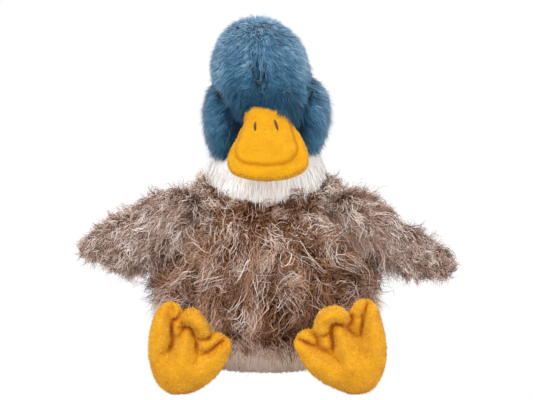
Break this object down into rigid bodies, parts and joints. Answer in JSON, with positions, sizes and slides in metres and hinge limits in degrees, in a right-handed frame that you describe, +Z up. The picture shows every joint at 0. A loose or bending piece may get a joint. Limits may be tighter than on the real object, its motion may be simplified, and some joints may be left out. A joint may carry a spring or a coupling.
{
  "type": "plush duck",
  "caption": "Sitting stuffed duck with spread wings, a shaggy body, a soft collar, a broad padded bill and webbed feet; head, wings, legs, feet and tail move at their seams.",
  "frame": {"origin": "middle of the seat's flat underside, on the floor", "axes": "+Z up, the duck looks along -Y, its own left side is at +X"},
  "size_m": [0.2749, 0.2373, 0.268],
  "materials": {
    "brown_fur": "long shaggy taupe-brown pile",
    "cream_plush": "soft pale plush",
    "white_fur": "long white pile",
    "blue_plush": "medium steel-blue pile",
    "yellow_plush": "golden yellow velour",
    "yellow_felt": "golden yellow short velour, topstitched",
    "stuffing": "loose polyester fibre, hidden",
    "pellet_cloth": "closed cloth bag of pellets, hidden",
    "eye_black": "polished black",
    "washer_plastic": "moulded, hidden",
    "brown_thread": "embroidery thread"
  },
  "bodies": {
    "body": {"body_front_cover": "brown_fur", "body_back_cover": "brown_fur", "under_cover": "cream_plush", "seat_panel": "cream_plush", "body_stuffing": "stuffing", "pellet_bag": "pellet_cloth"},
    "neck": {"neck_stuffing": "stuffing"},
    "collar_ring": {"collar": "white_fur"},
    "head": {"head_cover_left": "blue_plush", "head_cover_right": "blue_plush", "cheek_left": "blue_plush", "cheek_right": "blue_plush", "head_stuffing": "stuffing", "eye_left": "eye_black", "eye_right": "eye_black", "eye_washer_left": "washer_plastic", "eye_washer_right": "washer_plastic", "bill_upper": "yellow_felt", "bill_lower": "yellow_felt", "bill_filling": "stuffing", "nostril_left": "brown_thread", "nostril_right": "brown_thread"},
    "tail": {"tail_upper_cover": "brown_fur", "tail_lower_cover": "cream_plush", "tail_filling": "stuffing"},
    "wing_left": {"wing_front_cover_left": "brown_fur", "wing_back_cover_left": "brown_fur", "wing_filling_left": "stuffing"},
    "leg_left": {"leg_cover_left": "yellow_plush", "leg_filling_left": "stuffing"},
    "foot_left": {"foot_sole_left": "yellow_plush", "foot_top_left": "yellow_plush", "foot_filling_left": "stuffing"},
    "wing_right": {"wing_front_cover_right": "brown_fur", "wing_back_cover_right": "brown_fur", "wing_filling_right": "stuffing"},
    "leg_right": {"leg_cover_right": "yellow_plush", "leg_filling_right": "stuffing"},
    "foot_right": {"foot_sole_right": "yellow_plush", "foot_top_right": "yellow_plush", "foot_filling_right": "stuffing"}
  },
  "joints": [
    {"name": "head_turn", "type": "hinge", "parent": "body", "child": "neck", "pos_m": [0, 0, 0.146], "axis": [0, 0, 1], "range_deg": [-30, 30], "stiffness_Nm_per_rad": 0.6},
    {"name": "head_tilt", "type": "hinge", "parent": "neck", "child": "collar_ring", "pos_m": [0, 0, 0.146], "axis": [0, 1, 0], "range_deg": [-10, 10], "stiffness_Nm_per_rad": 0.8},
    {"name": "head_nod", "type": "hinge", "parent": "collar_ring", "child": "head", "pos_m": [0, 0, 0.146], "axis": [1, 0, 0], "range_deg": [-20, 10], "stiffness_Nm_per_rad": 0.8},
    {"name": "wing_left_flap", "type": "hinge", "parent": "body", "child": "wing_left", "pos_m": [0.06957, -0.034, 0.12165], "axis": [0, 1, 0], "range_deg": [-35, 12], "stiffness_Nm_per_rad": 0.08},
    {"name": "wing_right_flap", "type": "hinge", "parent": "body", "child": "wing_right", "pos_m": [-0.06957, -0.034, 0.12165], "axis": [0, 1, 0], "range_deg": [-12, 35], "stiffness_Nm_per_rad": 0.08},
    {"name": "tail_wag", "type": "hinge", "parent": "body", "child": "tail", "pos_m": [0, 0.08296, 0.05], "axis": [0, -0.5299, 0.848], "range_deg": [-20, 20], "stiffness_Nm_per_rad": 0.06},
    {"name": "hip_left_lift", "type": "hinge", "parent": "body", "child": "leg_left", "pos_m": [0.045, -0.05279, 0.031], "axis": [1, 0, 0], "range_deg": [-20, 35], "stiffness_Nm_per_rad": 0.12},
    {"name": "ankle_left_flex", "type": "hinge", "parent": "leg_left", "child": "foot_left", "pos_m": [0.0525, -0.08679, 0.031], "axis": [1, 0, 0], "range_deg": [-20, 20], "stiffness_Nm_per_rad": 0.08},
    {"name": "hip_right_lift", "type": "hinge", "parent": "body", "child": "leg_right", "pos_m": [-0.045, -0.05279, 0.031], "axis": [1, 0, 0], "range_deg": [-20, 35], "stiffness_Nm_per_rad": 0.12},
    {"name": "ankle_right_flex", "type": "hinge", "parent": "leg_right", "child": "foot_right", "pos_m": [-0.0525, -0.08679, 0.031], "axis": [1, 0, 0], "range_deg": [-20, 20], "stiffness_Nm_per_rad": 0.08}
  ]
}
